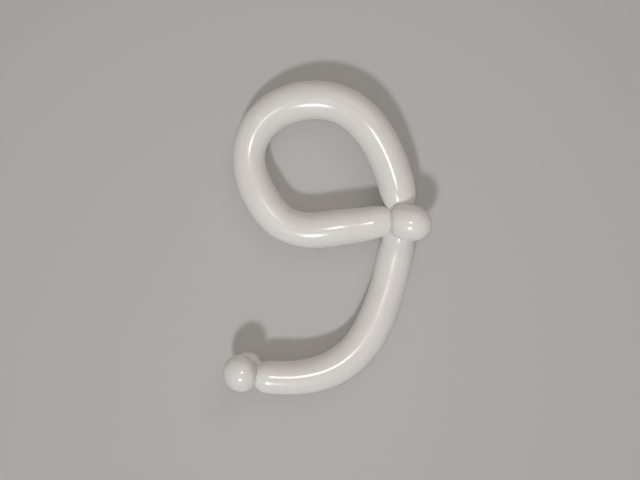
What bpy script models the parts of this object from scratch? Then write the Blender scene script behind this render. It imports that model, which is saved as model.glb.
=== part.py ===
"""A white modelling balloon twisted into the numeral 9, lying flat.

Metres, +X to the figure's right, +Y to its top, +Z up. The origin is under the middle of the figure, on
the surface that it lies on. The balloon is one closed skin: a long bubble bent into the ring, a long
bubble for the tail, and two locked pairs of small bubbles, one pair at the joint and one at the tail's
end. It is modelled as the solid inside that skin.
"""

import math
import bmesh
import bpy
import numpy as np
from mathutils import Vector

# The whole figure, from the top of its ring to the underside of its tail, and the long bubbles' girth.
FIGURE_HEIGHT = 0.427
TUBE_DIAMETER = 0.050

# The small bubbles. In each pair one lies on the other and both hang from the same lock.
JOINT_UPPER_LENGTH = 0.0555
JOINT_UPPER_DIAMETER = 0.049
JOINT_LOWER_LENGTH = 0.045
JOINT_LOWER_DIAMETER = 0.040
END_UPPER_LENGTH = 0.051
END_UPPER_DIAMETER = 0.0515
END_LOWER_LENGTH = 0.038
END_LOWER_DIAMETER = 0.0375

# The twists that lock the bubbles, and the smaller ones where a pair folds back on itself.
LOCK_DIAMETER = 0.014
FOLD_DIAMETER = 0.010

# The tied nozzle under the tail's end, and the empty tip under the joint.
NOZZLE_LENGTH = 0.036
NOZZLE_DIAMETER = 0.007
TIP_LENGTH = 0.041
TIP_DIAMETER = 0.007

# How deep the skin is pressed flat where it rests on the surface below.
REST_DEPTH = 0.0006

# Facets round a bubble, rows over each of its rounded ends, and the spacing of the rows between them as a
# share of its radius. The thin ends and the lumps need fewer. An edge sharper than the crease angle is a
# crease between two bubbles.
SIDES = 24
END_ROWS = 7
ROW_SPACING = 0.42
THIN_SIDES = 12
LUMP_ROWS = 8
CREASE_ANGLE = 40

# Each end's shape: how many of its radii it takes to round off, and how full it is, 2 being an ellipse.
ELLIPSE = 2.0
LOOSE_END = (1.40, ELLIPSE)
PRESSED_END = (1.00, 2.6)
THIN_END = (1.00, ELLIPSE)

# A small bubble is widest at this share of its length from the lock, and rounder beyond it.
EGG_WIDEST = 0.53
EGG_FAR_FULLNESS = 2.1

# The two locks, as shares of the centre line's height from the middle of the figure.
JOINT_PLACE = (0.257, 0.080)
END_PLACE = (-0.241, -0.468)

# The tip of the tail's long bubble, beside its lock.
TAIL_TIP = (-0.258, -0.502)

# The end's upper bubble is pressed flat against the tail, this far from the tail's tip.
PRESSED_FROM_TIP = 0.0055

# How each small bubble leaves its lock: its heading from +X, its lean up or down, and how full it is there.
JOINT_UPPER_WAY = (-14, 12, 2.1)
JOINT_LOWER_WAY = (-20, -44, 1.9)
END_UPPER_WAY = (198, 32, 1.45)
END_LOWER_WAY = (184, -43, 1.9)

# The joint's upper bubble closes this far right of, up from and above its lock, so it lies nearly level.
JOINT_UPPER_CLOSE = (-0.0075, -0.0035, 0.010)

# The ring's centre line from the joint, along the bottom, up the left side, over the top and down to the
# joint again: right, up, rise off the surface as a share of the joint's, girth as a share of the tube's.
RING_LINE = (
    (0.190, 0.056, 0.76, 0.92),
    (0.060, 0.036, 0.37, 1.00),
    (-0.068, 0.026, 0.19, 0.98),
    (-0.158, 0.056, 0.00, 0.955),
    (-0.229, 0.140, 0.00, 0.97),
    (-0.270, 0.236, 0.00, 0.925),
    (-0.272, 0.3305, 0.09, 0.917),
    (-0.227, 0.419, 0.07, 1.00),
    (-0.139, 0.479, 0.10, 1.06),
    (-0.032, 0.497, 0.40, 1.065),
    (0.0765, 0.470, 0.67, 1.055),
    (0.163, 0.394, 0.83, 1.055),
    (0.224, 0.289, 0.77, 1.03),
    (0.258, 0.191, 0.70, 1.015),
    (0.266, 0.151, 0.72, 0.995),
)

# The tail's centre line from the joint to its end, in the same terms.
TAIL_LINE = (
    (0.268, -0.013, 0.22, 0.92),
    (0.258, -0.060, 0.00, 0.98),
    (0.234, -0.163, 0.00, 0.98),
    (0.203, -0.260, 0.00, 1.00),
    (0.139, -0.384, 0.00, 1.00),
    (0.055, -0.462, 0.28, 0.99),
    (-0.056, -0.503, 0.76, 0.96),
    (-0.182, -0.509, 1.26, 0.915),
)

# The nozzle and the empty tip, each from its lock: right and up as shares of its own length, height as a
# share of its lock's, girth as a share of its own.
NOZZLE_LINE = (
    (0.25, -0.10, 0.46, 1.00),
    (0.45, -0.22, 0.20, 0.80),
    (0.60, -0.31, 0.125, 0.80),
    (0.74, -0.39, 0.135, 1.15),
)
TIP_LINE = (
    (-0.14, 0.44, 0.56, 1.00),
    (-0.21, 0.64, 0.29, 0.80),
)


def smooth_line(points, samples=600):
    """A natural cubic through the points, read at even steps: each row is x, y, z and radius."""
    points = np.array(points)
    knots = np.append(0, np.cumsum(np.linalg.norm(np.diff(points[:, :3], axis=0), axis=1)))
    gaps = np.diff(knots)
    count = len(points)
    system = np.eye(count)
    slopes = np.diff(points, axis=0) / gaps[:, None]
    right_side = np.zeros_like(points)
    for i in range(1, count - 1):
        system[i, i - 1 : i + 2] = gaps[i - 1], 2 * (gaps[i - 1] + gaps[i]), gaps[i]
        right_side[i] = 6 * (slopes[i] - slopes[i - 1])
    bends = np.linalg.solve(system, right_side)
    at = np.linspace(0, knots[-1], samples)
    i = np.clip(np.searchsorted(knots, at, side="right") - 1, 0, count - 2)
    before = (at - knots[i])[:, None]
    after = (knots[i + 1] - at)[:, None]
    gap = gaps[i][:, None]
    cubic = (bends[i] * after**3 + bends[i + 1] * before**3) / (6 * gap)
    linear = (points[i] / gap - bends[i] * gap / 6) * after
    linear += (points[i + 1] / gap - bends[i + 1] * gap / 6) * before
    return cubic + linear


def end_rows(taper, fullness):
    """Distance from the tip and share of the girth at each row of one end."""
    angles = [i * math.pi / 2 / END_ROWS for i in range(END_ROWS)]
    power = 2 / fullness
    return [(taper * (1 - math.cos(a) ** power), math.sin(a) ** power) for a in angles]


def bubble(name, points, first_end, last_end, sides=SIDES):
    """A sphere drawn out along a centre line. Each end is its taper's length and its fullness."""
    line = smooth_line(points)
    runs = np.append(0, np.cumsum(np.linalg.norm(np.diff(line[:, :3], axis=0), axis=1)))
    heads = np.gradient(line[:, :3], runs, axis=0)
    length = runs[-1]
    middle = max(0.0, length - first_end[0] - last_end[0])
    steps = max(1, math.ceil(middle / (ROW_SPACING * line[:, 3].mean())))
    rows = end_rows(*first_end)
    rows += [(first_end[0] + middle * i / steps, 1.0) for i in range(steps + 1)]
    rows += [(length - s, girth) for s, girth in reversed(end_rows(*last_end))]
    bm = bmesh.new()
    bmesh.ops.create_uvsphere(bm, u_segments=sides, v_segments=len(rows) - 1, radius=1)
    for vert in bm.verts:
        polar = math.acos(max(-1.0, min(1.0, vert.co.z)))
        around = math.atan2(vert.co.y, vert.co.x)
        s, girth = rows[round(polar / math.pi * (len(rows) - 1))]
        x, y, z, radius = (np.interp(s, runs, column) for column in line.T)
        head = Vector([np.interp(s, runs, column) for column in heads.T]).normalized()
        side = head.cross(Vector((0, 0, 1))).normalized()
        up = side.cross(head)
        spoke = side * math.cos(around) + up * math.sin(around)
        vert.co = Vector((x, y, z)) + spoke * radius * girth
    bm.normal_update()
    bmesh.ops.recalc_face_normals(bm, faces=bm.faces)
    return linked(name, bm)


def linked(name, bm):
    """The mesh as one of the shapes that the balloon is put together from."""
    mesh = bpy.data.meshes.new(name)
    bm.to_mesh(mesh)
    bm.free()
    mesh.shade_smooth()
    made = bpy.data.objects.new(name, mesh)
    made.parent = figure
    made.hide_render = True
    made.display_type = "WIRE"
    bpy.context.scene.collection.objects.link(made)
    return made


def round_off(radius, shape):
    """One end's length and fullness on a bubble of this radius."""
    return radius * shape[0], shape[1]


def long_bubble(name, start, line, end, first_end, last_end):
    """A bubble between two locks, through the points of the pose."""
    radius = TUBE_DIAMETER / 2
    lift = end.z - radius
    points = [(*start, radius * line[0][3])]
    for right, up, rise, girth in line:
        height = radius * girth - REST_DEPTH + rise * lift
        points.append((right * line_height, up * line_height, height, radius * girth))
    points.append((*end, radius * line[-1][3]))
    return bubble(name, points, round_off(radius, first_end), round_off(radius, last_end))


def egg_ends(length, lock_fullness):
    """The two ends of a small bubble, from its lock outwards."""
    lock_end = EGG_WIDEST * length
    return (lock_end, lock_fullness), (length - lock_end, EGG_FAR_FULLNESS)


def heading_of(way):
    """The direction in which a small bubble leaves its lock."""
    heading, lean = math.radians(way[0]), math.radians(way[1])
    level = math.cos(lean)
    return Vector((level * math.cos(heading), level * math.sin(heading), math.sin(lean)))


def egg(name, lock, way, length, diameter):
    """A small bubble that leaves its lock on its heading and lean."""
    out = heading_of(way) * length
    points = [(*(lock + out * share), diameter / 2) for share in (0, 0.5, 1)]
    return bubble(name, points, *egg_ends(length, way[2]))


def thin_end(name, lock, line, length, diameter):
    """An end of the balloon with no air in it, which hangs from its lock."""
    radius = diameter / 2
    points = [(*lock, radius * line[0][3])]
    for right, up, height, girth in line:
        points.append((lock.x + right * length, lock.y + up * length, lock.z * height, radius * girth))
    return bubble(name, points, round_off(radius, THIN_END), round_off(radius, THIN_END), THIN_SIDES)


def lock_point(place, way, length, diameter):
    """A pair's lock, at the height that lets the lower bubble, which leaves it this way, rest."""
    lean = math.radians(way[1])
    first_end, last_end = egg_ends(length, way[2])
    rows = end_rows(*first_end) + [(length - s, girth) for s, girth in end_rows(*last_end)]
    drop = min(s * math.sin(lean) - diameter / 2 * girth * math.cos(lean) for s, girth in rows)
    return Vector((place[0] * line_height, place[1] * line_height, -drop - REST_DEPTH))


def fold_point(lock, upper, upper_radius, lower, lower_radius):
    """Where a pair folds back on itself: in the notch between its bubbles, away from their lock.

    The lump there is sunk into the notch by a quarter of its diameter.
    """
    across = upper - lower
    apart = across.length
    up_to_contact = (apart**2 + lower_radius**2 - upper_radius**2) / (2 * apart)
    contact = lower + across * (up_to_contact / apart)
    notch = math.sqrt(max(0.0, lower_radius**2 - up_to_contact**2))
    out = contact - lock
    out -= across * (out.dot(across) / apart**2)
    return contact + out.normalized() * (notch + FOLD_DIAMETER / 4)


def press_flat(pressed, place, away):
    """Flattens what reaches past a plane back onto it."""
    for vert in pressed.data.vertices:
        past = (vert.co - place).dot(away)
        if past > 0:
            vert.co -= away * past


def lump(name, middle, diameter):
    """The gathered latex of a twist."""
    bm = bmesh.new()
    bmesh.ops.create_uvsphere(bm, u_segments=THIN_SIDES, v_segments=LUMP_ROWS, radius=diameter / 2)
    bmesh.ops.translate(bm, verts=bm.verts, vec=middle)
    return linked(name, bm)


for old in list(bpy.data.objects):
    bpy.data.objects.remove(old, do_unlink=True)

figure = bpy.data.objects.new("figure", None)
bpy.context.scene.collection.objects.link(figure)
line_height = FIGURE_HEIGHT - TUBE_DIAMETER
joint = lock_point(JOINT_PLACE, JOINT_LOWER_WAY, JOINT_LOWER_LENGTH, JOINT_LOWER_DIAMETER)
end = lock_point(END_PLACE, END_LOWER_WAY, END_LOWER_LENGTH, END_LOWER_DIAMETER)
tail_tip = Vector((TAIL_TIP[0] * line_height, TAIL_TIP[1] * line_height, end.z))

# The two long bubbles.
ring = long_bubble("ring", joint, RING_LINE, joint, LOOSE_END, LOOSE_END)
welded = [long_bubble("tail", joint, TAIL_LINE, tail_tip, LOOSE_END, PRESSED_END)]

# The pair at the joint.
joint_upper_close = joint + Vector(JOINT_UPPER_CLOSE)
welded += [
    egg("joint_upper", joint_upper_close, JOINT_UPPER_WAY, JOINT_UPPER_LENGTH, JOINT_UPPER_DIAMETER),
    egg("joint_lower", joint, JOINT_LOWER_WAY, JOINT_LOWER_LENGTH, JOINT_LOWER_DIAMETER),
    lump("joint_lock", joint, LOCK_DIAMETER),
]
joint_fold = fold_point(
    joint,
    joint_upper_close + heading_of(JOINT_UPPER_WAY) * JOINT_UPPER_LENGTH / 2,
    JOINT_UPPER_DIAMETER / 2,
    joint + heading_of(JOINT_LOWER_WAY) * JOINT_LOWER_LENGTH / 2,
    JOINT_LOWER_DIAMETER / 2,
)
welded.append(lump("joint_fold", joint_fold, FOLD_DIAMETER))

# The pair at the tail's end.
end_upper = egg("end_upper", end, END_UPPER_WAY, END_UPPER_LENGTH, END_UPPER_DIAMETER)
press_flat(end_upper, tail_tip + Vector((PRESSED_FROM_TIP, 0, 0)), Vector((1, 0, 0)))
welded += [
    end_upper,
    egg("end_lower", end, END_LOWER_WAY, END_LOWER_LENGTH, END_LOWER_DIAMETER),
    lump("end_lock", end, LOCK_DIAMETER),
]
end_fold = fold_point(
    end,
    end + heading_of(END_UPPER_WAY) * END_UPPER_LENGTH / 2,
    END_UPPER_DIAMETER / 2,
    end + heading_of(END_LOWER_WAY) * END_LOWER_LENGTH / 2,
    END_LOWER_DIAMETER / 2,
)
welded.append(lump("end_fold", end_fold, FOLD_DIAMETER))

# The balloon's own two ends.
welded.append(thin_end("nozzle", end, NOZZLE_LINE, NOZZLE_LENGTH, NOZZLE_DIAMETER))
welded.append(thin_end("empty_tip", joint, TIP_LINE, TIP_LENGTH, TIP_DIAMETER))

# All of it is one skin.
welds = bpy.data.collections.new("welded_bubbles")
for shape in welded:
    welds.objects.link(shape)
one_skin = ring.modifiers.new("one_skin", "BOOLEAN")
one_skin.operation = "UNION"
one_skin.operand_type = "COLLECTION"
one_skin.collection = welds

# What would sink into the surface below is pressed flat on it.
bm = bmesh.new()
bmesh.ops.create_cube(bm, size=2 * FIGURE_HEIGHT)
bmesh.ops.translate(bm, verts=bm.verts, vec=(0, 0, -FIGURE_HEIGHT))
flat_spots = ring.modifiers.new("flat_spots", "BOOLEAN")
flat_spots.operation = "DIFFERENCE"
flat_spots.object = linked("cut_surface", bm)

# The finished balloon, with the origin on the surface under its middle.
skin = bpy.data.meshes.new_from_object(ring.evaluated_get(bpy.context.evaluated_depsgraph_get()))
skin.name = "balloon"
skin.set_sharp_from_angle(angle=math.radians(CREASE_ANGLE))
latex = bpy.data.materials.new("white_latex")
latex.use_nodes = True
surface = latex.node_tree.nodes["Principled BSDF"]
surface.inputs["Base Color"].default_value = (0.82, 0.80, 0.77, 1)
surface.inputs["Roughness"].default_value = 0.22
surface.inputs["Metallic"].default_value = 0
skin.materials.clear()
skin.materials.append(latex)
balloon = bpy.data.objects.new("balloon", skin)
balloon.parent = figure
bpy.context.scene.collection.objects.link(balloon)
corners = [Vector(corner) for corner in balloon.bound_box]
figure.location = -(corners[0] + corners[6]) / 2
figure.location.z = 0
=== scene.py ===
import math
import bmesh
import bpy
import numpy as np
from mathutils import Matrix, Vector
from mathutils.bvhtree import BVHTree


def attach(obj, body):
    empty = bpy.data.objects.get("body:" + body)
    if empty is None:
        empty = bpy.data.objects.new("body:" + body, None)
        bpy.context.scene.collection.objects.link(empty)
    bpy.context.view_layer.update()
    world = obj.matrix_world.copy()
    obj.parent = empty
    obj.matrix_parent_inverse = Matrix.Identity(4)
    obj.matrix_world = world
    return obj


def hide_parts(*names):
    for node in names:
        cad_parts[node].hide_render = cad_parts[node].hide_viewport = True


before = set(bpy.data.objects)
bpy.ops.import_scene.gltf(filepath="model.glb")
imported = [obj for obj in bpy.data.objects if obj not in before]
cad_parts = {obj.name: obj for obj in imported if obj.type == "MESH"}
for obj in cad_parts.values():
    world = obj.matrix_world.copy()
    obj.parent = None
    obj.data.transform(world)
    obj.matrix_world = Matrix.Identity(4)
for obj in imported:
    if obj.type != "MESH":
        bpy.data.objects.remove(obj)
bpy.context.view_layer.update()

# The camera. It hangs over the balloon and looks straight down on it, a little left of its middle, with
# the top of the numeral up in the picture.
camera = bpy.data.objects.new("camera", bpy.data.cameras.new("camera"))
camera.data.sensor_width = 36
camera.data.lens = 50.6
camera.location = (-0.0094, -0.0033, 1.26)
bpy.context.scene.collection.objects.link(camera)
bpy.context.scene.camera = camera

# The ring: the long bubble that makes the numeral's bowl. It is thin white latex blown up to a tube of
# about 50 mm, bent round by hand, and locked at both ends into one twist. It leaves the twist to the left,
# lies on the surface at the bowl's lower left, and rises again over the top and down the right side.
tube_radius = 0.025
line_height = 0.377
middle = Vector((-0.00283, 0.00081, 0))
pressed_in = 0.0006
round_sides = 96
line_steps = 600
joint_twist = Vector((0.257 * line_height, 0.080 * line_height, 0.0368)) + middle

# A loose end takes 1.4 tube radii to reach its full girth, and is as full as an ellipse. At a twist the
# skin is drawn into 11 pleats, 0.7 mm deep.
loose_end = (1.40 * tube_radius, 2.0)
twist_gather = {"reach": 0.0075, "pleats": 11, "depth": 0.0007}

# Each point of the line says how far right and how far up it lies, in line heights from the middle, then
# how much of its twist's lift it has, and its girth as a share of the tube's.
ring_line = [
    (0.190, 0.056, 0.76, 0.92),
    (0.060, 0.036, 0.37, 1.00),
    (-0.068, 0.026, 0.19, 0.98),
    (-0.158, 0.056, 0.00, 0.955),
    (-0.229, 0.140, 0.00, 0.97),
    (-0.270, 0.236, 0.00, 0.925),
    (-0.272, 0.3305, 0.09, 0.917),
    (-0.227, 0.419, 0.07, 1.00),
    (-0.139, 0.479, 0.10, 1.06),
    (-0.032, 0.497, 0.40, 1.065),
    (0.0765, 0.470, 0.67, 1.055),
    (0.163, 0.394, 0.83, 1.055),
    (0.224, 0.289, 0.77, 1.03),
    (0.258, 0.191, 0.70, 1.015),
    (0.266, 0.151, 0.72, 0.995),
]
bubbles = []


def smooth_line(points):
    """A natural cubic through points of x, y, z and radius, with the distance along it."""
    points = np.array(points)
    knots = np.append(0, np.cumsum(np.linalg.norm(np.diff(points[:, :3], axis=0), axis=1)))
    gaps = np.diff(knots)
    count = len(points)
    system = np.eye(count)
    slopes = np.diff(points, axis=0) / gaps[:, None]
    right_side = np.zeros_like(points)
    for i in range(1, count - 1):
        system[i, i - 1 : i + 2] = gaps[i - 1], 2 * (gaps[i - 1] + gaps[i]), gaps[i]
        right_side[i] = 6 * (slopes[i] - slopes[i - 1])
    bends = np.linalg.solve(system, right_side)
    at = np.linspace(0, knots[-1], line_steps)
    i = np.clip(np.searchsorted(knots, at, side="right") - 1, 0, count - 2)
    before = (at - knots[i])[:, None]
    after = (knots[i + 1] - at)[:, None]
    gap = gaps[i][:, None]
    line = (bends[i] * after**3 + bends[i + 1] * before**3) / (6 * gap)
    line += (points[i] / gap - bends[i] * gap / 6) * after
    line += (points[i + 1] / gap - bends[i + 1] * gap / 6) * before
    return line, np.append(0, np.cumsum(np.linalg.norm(np.diff(line[:, :3], axis=0), axis=1)))


def drawn_out(points, rows, sides, begins_at=0.0):
    """Draws a sphere out into a skin round a line. Each row is its distance and its share of the girth.

    The skin begins at begins_at, which is measured along the balloon from the nozzle.
    """
    bubble = bmesh.new()
    bubbles.append(bubble)
    bubble.verts.layers.float.new("slack")
    unrolled = bubble.verts.layers.float_vector.new("unrolled")
    line, runs = smooth_line(points)
    heads = np.gradient(line[:, :3], runs, axis=0)
    frames = []
    for s, girth in rows:
        x, y, z, radius = (np.interp(s, runs, column) for column in line.T)
        head = Vector([np.interp(s, runs, column) for column in heads.T]).normalized()
        side = head.cross(Vector((0, 0, 1))).normalized()
        frames.append((Vector((x, y, z)), side, side.cross(head), radius * girth, s))
    bmesh.ops.create_uvsphere(bubble, u_segments=sides, v_segments=len(rows) - 1, radius=1)
    for vert in bubble.verts:
        row = round(math.acos(max(-1.0, min(1.0, vert.co.z))) / math.pi * (len(rows) - 1))
        around = math.atan2(vert.co.y, vert.co.x)
        centre, side, up, radius, s = frames[row]
        vert.co = centre + (side * math.cos(around) + up * math.sin(around)) * radius
        vert[unrolled] = (math.cos(around) * tube_radius, math.sin(around) * tube_radius, begins_at + s)
    bubble.normal_update()
    return bubble


def round_rows(length, first_end, last_end, spacing=0.0020, end_rows=26):
    """Rows of a bubble that rounds off at both ends. An end is its length and how full it is.

    Above 2 the end is blunter than an ellipse, and below 2 it is drawn in towards its tip.
    """
    draw_in, rounding = 1.15, 0.01

    def end(taper, fullness):
        angles = [i * math.pi / 2 / end_rows for i in range(end_rows)]
        power = min(1, 2 / fullness)
        drawn_in = max(0, draw_in * (2 - fullness))
        return [
            (taper * (1 - math.cos(a) ** power), math.sin(a) ** power * (1 - drawn_in * math.cos(a) ** 2))
            for a in angles
        ]

    between = length - first_end[0] - last_end[0]
    steps = math.ceil(between / spacing - rounding)
    rows = end(*first_end) + [(first_end[0], 1.0)]
    rows += [(first_end[0] + between * (i + 1) / steps, 1.0) for i in range(steps)]
    return rows + [(length - s, girth) for s, girth in reversed(end(*last_end))]


def gather(bubble, twist, axis, reach, pleats, depth, pull=0.0):
    """Gathers the skin round a twist into pleats that spiral in to it, and marks it as slack there."""
    too_far, wind = 0.01, 0.6
    pleat_share, small_share = 0.35, 0.15
    small_pleats = int(1.7 * pleats)
    slack = bubble.verts.layers.float["slack"]
    axis = axis.normalized()
    side = axis.orthogonal().normalized()
    up = axis.cross(side)
    for vert in bubble.verts:
        out = vert.co - twist
        near = math.exp(-((out.length / reach) ** 2))
        if near < too_far:
            continue
        turn = math.atan2(out.dot(up), out.dot(side)) + wind * out.length / reach
        fold = 0.5 + pleat_share * math.cos(pleats * turn)
        fold += small_share * math.cos(small_pleats * turn + 1)
        vert.co -= out * (pull * near)
        vert.co -= vert.normal * (depth * near * fold)
        vert[slack] = max(vert[slack], near)


def long_bubble(start, line, lift, end, first_end, last_end, begins_at):
    """A long bubble between two twists, through the points of its line."""
    points = [(*start, tube_radius * line[0][3])]
    for right, up, rise, girth in line:
        place = Vector((right, up, 0)) * line_height + middle
        radius = tube_radius * girth
        points.append((place.x, place.y, radius - pressed_in + rise * lift, radius))
    points.append((*end, tube_radius * line[-1][3]))
    length = smooth_line(points)[1][-1]
    bubble = drawn_out(points, round_rows(length, first_end, last_end), round_sides, begins_at)
    gather(bubble, start, Vector(points[1][:3]) - start, **twist_gather)
    gather(bubble, end, Vector(points[-2][:3]) - end, **twist_gather)
    return bubble


joint_lift = joint_twist.z - tube_radius
ring = long_bubble(joint_twist, ring_line, joint_lift, joint_twist, loose_end, loose_end, begins_at=0.62)

# The tail: the other long bubble. It drops from the joint to the surface, lies there along the numeral's
# right side, and lifts again as it turns left, because the pair of bubbles at its end props it up.
end_twist = Vector((-0.241 * line_height, -0.468 * line_height, 0.0318)) + middle
tail_tip = Vector((-0.258 * line_height, -0.502 * line_height, end_twist.z)) + middle
tail_line = [
    (0.268, -0.013, 0.22, 0.92),
    (0.258, -0.060, 0.00, 0.98),
    (0.234, -0.163, 0.00, 0.98),
    (0.203, -0.260, 0.00, 1.00),
    (0.139, -0.384, 0.00, 1.00),
    (0.055, -0.462, 0.28, 0.99),
    (-0.056, -0.503, 0.76, 0.96),
    (-0.182, -0.509, 1.26, 0.915),
]
blunt_end = (1.00 * tube_radius, 2.6)
end_lift = end_twist.z - tube_radius
tail = long_bubble(joint_twist, tail_line, end_lift, tail_tip, loose_end, blunt_end, begins_at=0.13)

# A shallow rim runs round the tail where its skin bears on the upper bubble of the pair.
rim_from_end = 0.0085
rim_width = 0.0014
rim_depth = 0.0004
unrolled = tail.verts.layers.float_vector["unrolled"]
tail_end = max(vert[unrolled].z for vert in tail.verts)
for vert in tail.verts:
    groove = math.exp(-(((tail_end - vert[unrolled].z - rim_from_end) / rim_width) ** 2))
    vert.co -= vert.normal * (rim_depth * groove)

# The pair at the joint: two small bubbles of the same balloon, folded against each other and twisted in
# with the ring and the tail to lock them. One lies on the surface and the other rides on top of it.
widest = 0.53
far_fullness = 2.1
next_bubble = 0.06
fold_stands_out = 0.0025
fold_gather = {"reach": 0.0105, "pleats": 9, "depth": 0.0011, "pull": 0.35}


def heading_of(way):
    """The direction in which a small bubble leaves its twist, from its heading and its lean."""
    heading, lean = math.radians(way[0]), math.radians(way[1])
    level = math.cos(lean)
    return Vector((level * math.cos(heading), level * math.sin(heading), math.sin(lean)))


def small_bubble(close, way, length, diameter, begins_at):
    """A small bubble from where it closes, on its heading and its lean."""
    out = heading_of(way) * length
    points = [(*(close + out * share), diameter / 2) for share in (0, 0.5, 1)]
    rows = round_rows(length, (widest * length, way[2]), ((1 - widest) * length, far_fullness))
    return drawn_out(points, rows, round_sides, begins_at)


def fold_of(twist, upper, upper_radius, lower, lower_radius):
    """Where a pair folds back on itself, in the notch between its bubbles on the side away from the twist."""
    across = upper - lower
    apart = across.length
    up_to_contact = (apart**2 + lower_radius**2 - upper_radius**2) / (2 * apart)
    contact = lower + across * (up_to_contact / apart)
    notch = math.sqrt(max(0.0, lower_radius**2 - up_to_contact**2))
    out = contact - twist
    out -= across * (out.dot(across) / apart**2)
    return contact + out.normalized() * (notch + fold_stands_out)


def pair(twist, close, upper_way, upper_size, lower_way, lower_size, begins_at):
    """Both bubbles of a pair, gathered at their shared twist and at their fold.

    A way is a heading and a lean in degrees, and how full the end at the twist is. A size is a length
    and a width. The upper bubble closes a little away from the twist, at close.
    """
    upper = small_bubble(close, upper_way, *upper_size, begins_at)
    lower = small_bubble(twist, lower_way, *lower_size, begins_at + next_bubble)
    upper_middle = close + heading_of(upper_way) * upper_size[0] / 2
    lower_middle = twist + heading_of(lower_way) * lower_size[0] / 2
    fold = fold_of(twist, upper_middle, upper_size[1] / 2, lower_middle, lower_size[1] / 2)
    for bubble, way, centre, closed_at in (
        (upper, upper_way, upper_middle, close), (lower, lower_way, lower_middle, twist)
    ):
        gather(bubble, closed_at, heading_of(way), **twist_gather)
        gather(bubble, fold, centre - fold, **fold_gather)
    return upper, lower, fold


def press(bubble, at, kept_side, edge=0.0016):
    """Presses a bubble nearly flat against what stands beside it. It is kept to the plane's + or - side."""
    for vert in bubble.verts:
        past = kept_side * (vert.co.x - at) / edge
        vert.co.x = at + kept_side * edge * (max(past, 0) + math.log1p(math.exp(-abs(past))))


def cling(one, other, fill, reach):
    """Fills the crease between two bubbles that sit hard on each other, as their skins cling together."""
    moves = []
    for skin, beside in ((one, BVHTree.FromBMesh(other)), (other, BVHTree.FromBMesh(one))):
        skin.normal_update()
        for vert in skin.verts:
            gap = beside.find_nearest(vert.co)[3]
            if gap < 3 * reach:
                moves.append((vert, vert.normal * (fill * math.exp(-((gap / reach) ** 2)))))
    for vert, move in moves:
        vert.co += move


neck_top = joint_twist + Vector((-0.0150, -0.0035, 0.0097))
joint_upper, _, joint_fold = pair(
    joint_twist,
    neck_top,
    upper_way=(-13, 11, 2.1),
    upper_size=(0.0633, 0.049),
    lower_way=(-20, -44, 1.9),
    lower_size=(0.045, 0.040),
    begins_at=0.48,
)

# The upper bubble leans on the ring's start, a little left of the twist, and sits hard on the tail and on
# both ends of the ring.
left_of_twist = 0.0075
press(joint_upper, joint_twist.x - left_of_twist, kept_side=1)
cling(joint_upper, tail, fill=0.0013, reach=0.0024)
cling(joint_upper, ring, fill=0.0013, reach=0.0024)

# The pair at the tail's end, made the same way. The upper bubble is the larger, and is pressed flat against
# the tail. The lower one is nearest the nozzle, where the skin is thickest, so it is the smaller.
end_upper, end_lower, end_fold = pair(
    end_twist,
    end_twist,
    upper_way=(198, 32, 1.45),
    upper_size=(0.051, 0.0515),
    lower_way=(184, -43, 1.9),
    lower_size=(0.038, 0.0375),
    begins_at=0.02,
)
right_of_tip = 0.0050
press(end_upper, tail_tip.x + right_of_tip, kept_side=-1)
cling(end_upper, tail, fill=0.0018, reach=0.0032)
# The whole lower bubble is tinted at least a third of the way to the slack cream, a painted warm glow of
# light through its shaded skin. This also makes it a little less glossy.
painted_glow_share = 0.35
slack = end_lower.verts.layers.float["slack"]
for vert in end_lower.verts:
    vert[slack] = max(vert[slack], painted_glow_share)

# The twists. Where bubbles meet, the skin is wound into a hard little rope, which is all that holds the
# balloon in shape. Each fold of a pair is one turn of the same rope.
strands = 5
groove_depth = 0.09


def twist_rope(place, axis, diameter, turns):
    """A round lump of wound skin, with grooves that run round it at a slant."""
    axis = axis.normalized()
    side = axis.orthogonal().normalized()
    up = axis.cross(side)
    rope = bmesh.new()
    bubbles.append(rope)
    slack = rope.verts.layers.float.new("slack")
    unrolled = rope.verts.layers.float_vector.new("unrolled")
    bmesh.ops.create_uvsphere(rope, u_segments=48, v_segments=24, radius=diameter / 2)
    for vert in rope.verts:
        x, y, z = vert.co
        around = math.atan2(y, x)
        groove = groove_depth * math.cos(strands * around + turns * z / diameter * math.tau)
        vert.co = place + (side * x + up * y) * (1 + groove) + axis * z
        vert[slack] = 1
        vert[unrolled] = (x, y, z)


twist_rope(joint_twist, Vector((0, 0, 1)), diameter=0.014, turns=1.2)
twist_rope(joint_fold, joint_fold - joint_twist, diameter=0.010, turns=1.0)
twist_rope(end_twist, Vector((0, 0, 1)), diameter=0.014, turns=1.2)
twist_rope(end_fold, end_fold - end_twist, diameter=0.010, turns=1.0)

# The nozzle: the thick end that the balloon was blown up through, tied in a knot and tucked under the
# tail's end. Its mouth is a short funnel with a rolled lip.
limp_radius = 0.0035
limp_sides = 48
nozzle_length = 0.036
nozzle_line = [
    (0.25, -0.10, 0.46, 1.00),
    (0.45, -0.22, 0.20, 0.80),
    (0.60, -0.31, 0.125, 0.80),
    (0.74, -0.39, 0.135, 1.15),
]


def thin_line(twist, line, length, radius):
    """The line of an end with no air in it, which hangs from its twist. Heights are shares of the twist's."""
    points = [(*twist, radius * line[0][3])]
    for right, up, height, girth in line:
        points.append((twist.x + right * length, twist.y + up * length, twist.z * height, radius * girth))
    return points


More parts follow.
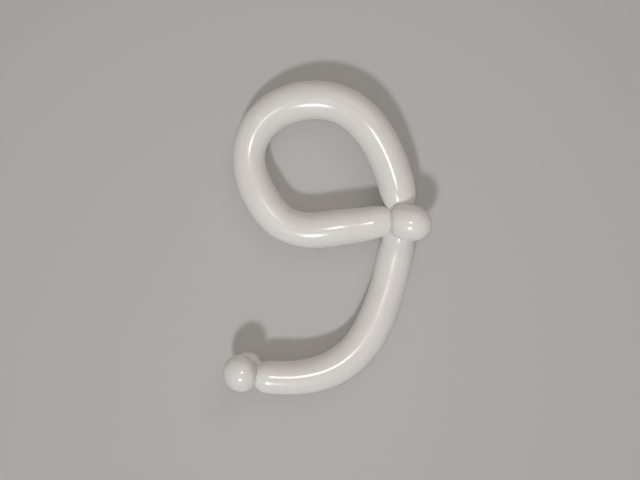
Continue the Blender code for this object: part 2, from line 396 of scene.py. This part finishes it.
nozzle_points = thin_line(end_twist, nozzle_line, nozzle_length, limp_radius)
nozzle_run = smooth_line(nozzle_points)[1][-1]
knot_middle = 0.55 * nozzle_run
knot_width, crease_width = 0.0022, 0.0005
stem_girth, knot_girth, crease_girth = 0.72, 0.40, 0.22
stem_end = 0.002
stem_rows = 40
nozzle_rows = [(0, 0.0), (0.0008, 0.6), (stem_end, 0.85)]
for i in range(stem_rows):
    s = stem_end + (nozzle_run - 2 * stem_end) * i / (stem_rows - 1)
    knot = math.exp(-(((s - knot_middle) / knot_width) ** 2))
    crease = math.exp(-(((s - knot_middle) / crease_width) ** 2))
    nozzle_rows.append((s, stem_girth + knot_girth * knot - crease_girth * crease))

# The lip is rolled over by most of a turn, and the skin goes back in behind it to close the mouth.
lip_middle = nozzle_run - 0.0010
lip_width = 0.0009
lip_girth, roll_girth = 0.80, 0.20
for degrees in range(-140, 141, 35):
    turn = math.radians(degrees)
    roll = lip_girth + roll_girth * math.cos(turn)
    nozzle_rows.append((lip_middle + lip_width * math.sin(turn), roll))
nozzle_rows += [(nozzle_run - 0.004, 0.46), (nozzle_run - 0.007, 0.36), (nozzle_run - 0.008, 0.0)]
nozzle = drawn_out(nozzle_points, nozzle_rows, limp_sides)
slack = nozzle.verts.layers.float["slack"]
for vert in nozzle.verts:
    vert[slack] = 1

# The empty tip: the last of the skin, past the ring's end, where no air was let in. It hangs limp and
# creased under the joint, and its end is closed.
tip_length = 0.041
tip_line = [
    (-0.14, 0.44, 0.56, 1.00),
    (-0.21, 0.64, 0.29, 0.80),
]
tip_points = thin_line(joint_twist, tip_line, tip_length, limp_radius)
tip_run = smooth_line(tip_points)[1][-1]
tip_end = (limp_radius, 2.0)
tip_rows = round_rows(tip_run, tip_end, tip_end, spacing=0.0008, end_rows=10)
empty_tip = drawn_out(tip_points, tip_rows, limp_sides, begins_at=1.3)

# Three long creases run down it at a slant, and finer ones run across it.
crease_depth = 0.0005
long_creases, slant, long_share = 3, 90, 0.5
cross_creases, cross_share = 420, 0.3
slack = empty_tip.verts.layers.float["slack"]
unrolled = empty_tip.verts.layers.float_vector["unrolled"]
for vert in empty_tip.verts:
    x, y, s = vert[unrolled]
    crease = math.cos(long_creases * math.atan2(y, x) + slant * s) * long_share
    crease += math.cos(cross_creases * s) * cross_share
    vert.co -= vert.normal * (crease_depth * (1 + crease))
    vert[slack] = 1

# The latex. It is white, glossy and slightly cloudy, and light goes a little way into it. Stretched thin on
# a bubble it is a soft white with faint lengthwise streaks. Where it is slack, at twists, nozzle and tip,
# it is thicker, creamier and less glossy. The same cream laid over the end pair's lower bubble is painted
# glow of light through its shaded skin.
thin_white = (0.790, 0.770, 0.748, 1)
cloudy_white = (0.850, 0.834, 0.818, 1)
slack_and_glow_cream = (0.81, 0.775, 0.70, 1)
streak_strength = 0.10
slack_dulls_by = 0.18
matt_dulls_by = 0.13
latex = bpy.data.materials.new("white_latex")
latex.use_nodes = True
nodes = latex.node_tree.nodes
links = latex.node_tree.links
shader = nodes["Principled BSDF"]


def add(kind, **values):
    """A node with its settings and the values of its sockets."""
    node = nodes.new(kind)
    for name, value in values.items():
        if hasattr(node, name):
            setattr(node, name, value)
        else:
            node.inputs[name.replace("_", " ")].default_value = value
    return node


place = add("ShaderNodeTexCoord")
slack_and_glow_share = add("ShaderNodeAttribute", attribute_name="slack")
along_skin = add("ShaderNodeAttribute", attribute_name="unrolled")

clouds = add("ShaderNodeTexNoise", Scale=38.0, Detail=3.0, Roughness=0.55)
links.new(place.outputs["Object"], clouds.inputs["Vector"])
stretched = add("ShaderNodeMapping", Scale=(260.0, 260.0, 14.0))
links.new(along_skin.outputs["Vector"], stretched.inputs["Vector"])
streaks = add("ShaderNodeTexNoise", Scale=1.0, Detail=2.0, Roughness=0.6)
links.new(stretched.outputs["Vector"], streaks.inputs["Vector"])

# A colour mix has its share, its two colours and its result in these sockets.
share, colour_a, colour_b, result = 0, 6, 7, 2
cloudy = add("ShaderNodeMix", data_type="RGBA")
cloudy.inputs[colour_a].default_value = thin_white
cloudy.inputs[colour_b].default_value = cloudy_white
links.new(clouds.outputs["Fac"], cloudy.inputs[share])
streaky = add("ShaderNodeMix", data_type="RGBA", blend_type="MULTIPLY")
streaky.inputs[share].default_value = streak_strength
links.new(cloudy.outputs[result], streaky.inputs[colour_a])
links.new(streaks.outputs["Color"], streaky.inputs[colour_b])
# The cream mix: the thicker slack skin, and on the end pair's lower bubble a painted glow of light through
# its shade.
creamy = add("ShaderNodeMix", data_type="RGBA")
creamy.inputs[colour_b].default_value = slack_and_glow_cream
links.new(streaky.outputs[result], creamy.inputs[colour_a])
links.new(slack_and_glow_share.outputs["Fac"], creamy.inputs[share])
links.new(creamy.outputs[result], shader.inputs["Base Color"])

gloss = add("ShaderNodeMapRange", From_Min=0.3, From_Max=0.7, To_Min=0.17, To_Max=0.25)
links.new(streaks.outputs["Fac"], gloss.inputs["Value"])
duller = add("ShaderNodeMath", operation="MULTIPLY_ADD")
duller.inputs[1].default_value = slack_dulls_by
links.new(slack_and_glow_share.outputs["Fac"], duller.inputs[0])
links.new(gloss.outputs["Result"], duller.inputs[2])

# Two stretches of the skin are a little more matt: the tail's upper part and the ring's lower left. Each is
# given by where it begins, is full, fades and ends, in metres along the skin.
matt_stretches = [(0.150, 0.215, 0.27, 0.36), (0.735, 0.785, 0.825, 0.900)]
roughness = duller.outputs["Value"]
distance = add("ShaderNodeSeparateXYZ")
links.new(along_skin.outputs["Vector"], distance.inputs[0])
for begins, is_full, fades, ends in matt_stretches:
    here = add("ShaderNodeMath", operation="MULTIPLY")
    for socket, (zero_at, one_at) in enumerate(((begins, is_full), (ends, fades))):
        edge = add("ShaderNodeMapRange", interpolation_type="SMOOTHSTEP", From_Min=zero_at, From_Max=one_at)
        links.new(distance.outputs["Z"], edge.inputs["Value"])
        links.new(edge.outputs["Result"], here.inputs[socket])
    more_matt = add("ShaderNodeMath", operation="MULTIPLY_ADD")
    more_matt.inputs[1].default_value = matt_dulls_by
    links.new(here.outputs["Value"], more_matt.inputs[0])
    links.new(roughness, more_matt.inputs[2])
    roughness = more_matt.outputs["Value"]
links.new(roughness, shader.inputs["Roughness"])

pores = add("ShaderNodeTexNoise", Scale=700.0, Detail=2.0)
links.new(place.outputs["Object"], pores.inputs["Vector"])
fine = add("ShaderNodeBump", Strength=0.04, Distance=0.0004)
links.new(pores.outputs["Fac"], fine.inputs["Height"])
drawn = add("ShaderNodeBump", Strength=0.06, Distance=0.0006)
links.new(streaks.outputs["Fac"], drawn.inputs["Height"])
links.new(fine.outputs["Normal"], drawn.inputs["Normal"])
links.new(drawn.outputs["Normal"], shader.inputs["Normal"])

shader.inputs["Metallic"].default_value = 0
shader.inputs["IOR"].default_value = 1.52
shader.inputs["Subsurface Weight"].default_value = 0.30
shader.inputs["Subsurface Radius"].default_value = (1.0, 0.85, 0.68)
shader.inputs["Subsurface Scale"].default_value = 0.006

# The whole balloon is one skin. It is pressed flat where it lies on the surface, and all of its bubbles,
# twists and ends are one piece.
skin = bmesh.new()
mesh = bpy.data.meshes.new("balloon_skin")
for bubble in bubbles:
    bubble.to_mesh(mesh)
    skin.from_mesh(mesh)
    bubble.free()
for vert in skin.verts:
    vert.co.z = max(vert.co.z, 0.0)
skin.normal_update()
bmesh.ops.recalc_face_normals(skin, faces=skin.faces)
skin.to_mesh(mesh)
skin.free()
mesh.shade_smooth()
mesh.set_sharp_from_angle(angle=math.radians(40))
mesh.materials.append(latex)
balloon_skin = bpy.data.objects.new("balloon_skin", mesh)
bpy.context.scene.collection.objects.link(balloon_skin)
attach(balloon_skin, "root")
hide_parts("balloon")

# The floor: a plain matt board, painted pale grey. It isn't part of the balloon, and lies under it to
# take its shadow.
floor_mesh = bpy.data.meshes.new("floor")
board = bmesh.new()
bmesh.ops.create_grid(board, x_segments=1, y_segments=1, size=6)
board.to_mesh(floor_mesh)
board.free()
floor = bpy.data.objects.new("floor", floor_mesh)
bpy.context.scene.collection.objects.link(floor)
board_paint = bpy.data.materials.new("floor_board")
board_paint.use_nodes = True
paint = board_paint.node_tree.nodes["Principled BSDF"]
paint.inputs["Base Color"].default_value = (0.50, 0.50, 0.50, 1)
paint.inputs["Roughness"].default_value = 0.85
floor_mesh.materials.append(board_paint)

# The lights: a lamp in front of the balloon, to the left, that throws the shadows up and to the right, a
# small warm lamp right beside the camera, and a wide warm one behind that lifts the shaded sides.


def round_lamp(name, place, size, power, colour):
    """A round lamp that is aimed at the balloon's middle."""
    light = bpy.data.objects.new(name, bpy.data.lights.new(name, "AREA"))
    light.data.shape = "DISK"
    light.data.size = size
    light.data.energy = power
    light.data.color = colour
    light.location = place
    light.rotation_euler = (-Vector(place)).to_track_quat("-Z", "Y").to_euler()
    bpy.context.scene.collection.objects.link(light)


round_lamp("front_lamp", (-0.93, -3.15, 4.15), size=0.69, power=110, colour=(0.92, 0.97, 1.0))
round_lamp("back_fill", (1.20, 2.40, 3.20), size=2.5, power=15, colour=(1.0, 0.91, 0.80))
round_lamp("camera_lamp", (-0.013, 0.016, 1.29), size=0.09, power=3.6, colour=(1.0, 0.91, 0.82))
world = bpy.data.worlds.new("world")
world.use_nodes = True
world.node_tree.nodes["Background"].inputs["Color"].default_value = (1.0, 0.955, 0.91, 1)
world.node_tree.nodes["Background"].inputs["Strength"].default_value = 0.24
bpy.context.scene.world = world
bpy.context.scene.view_settings.view_transform = "Standard"
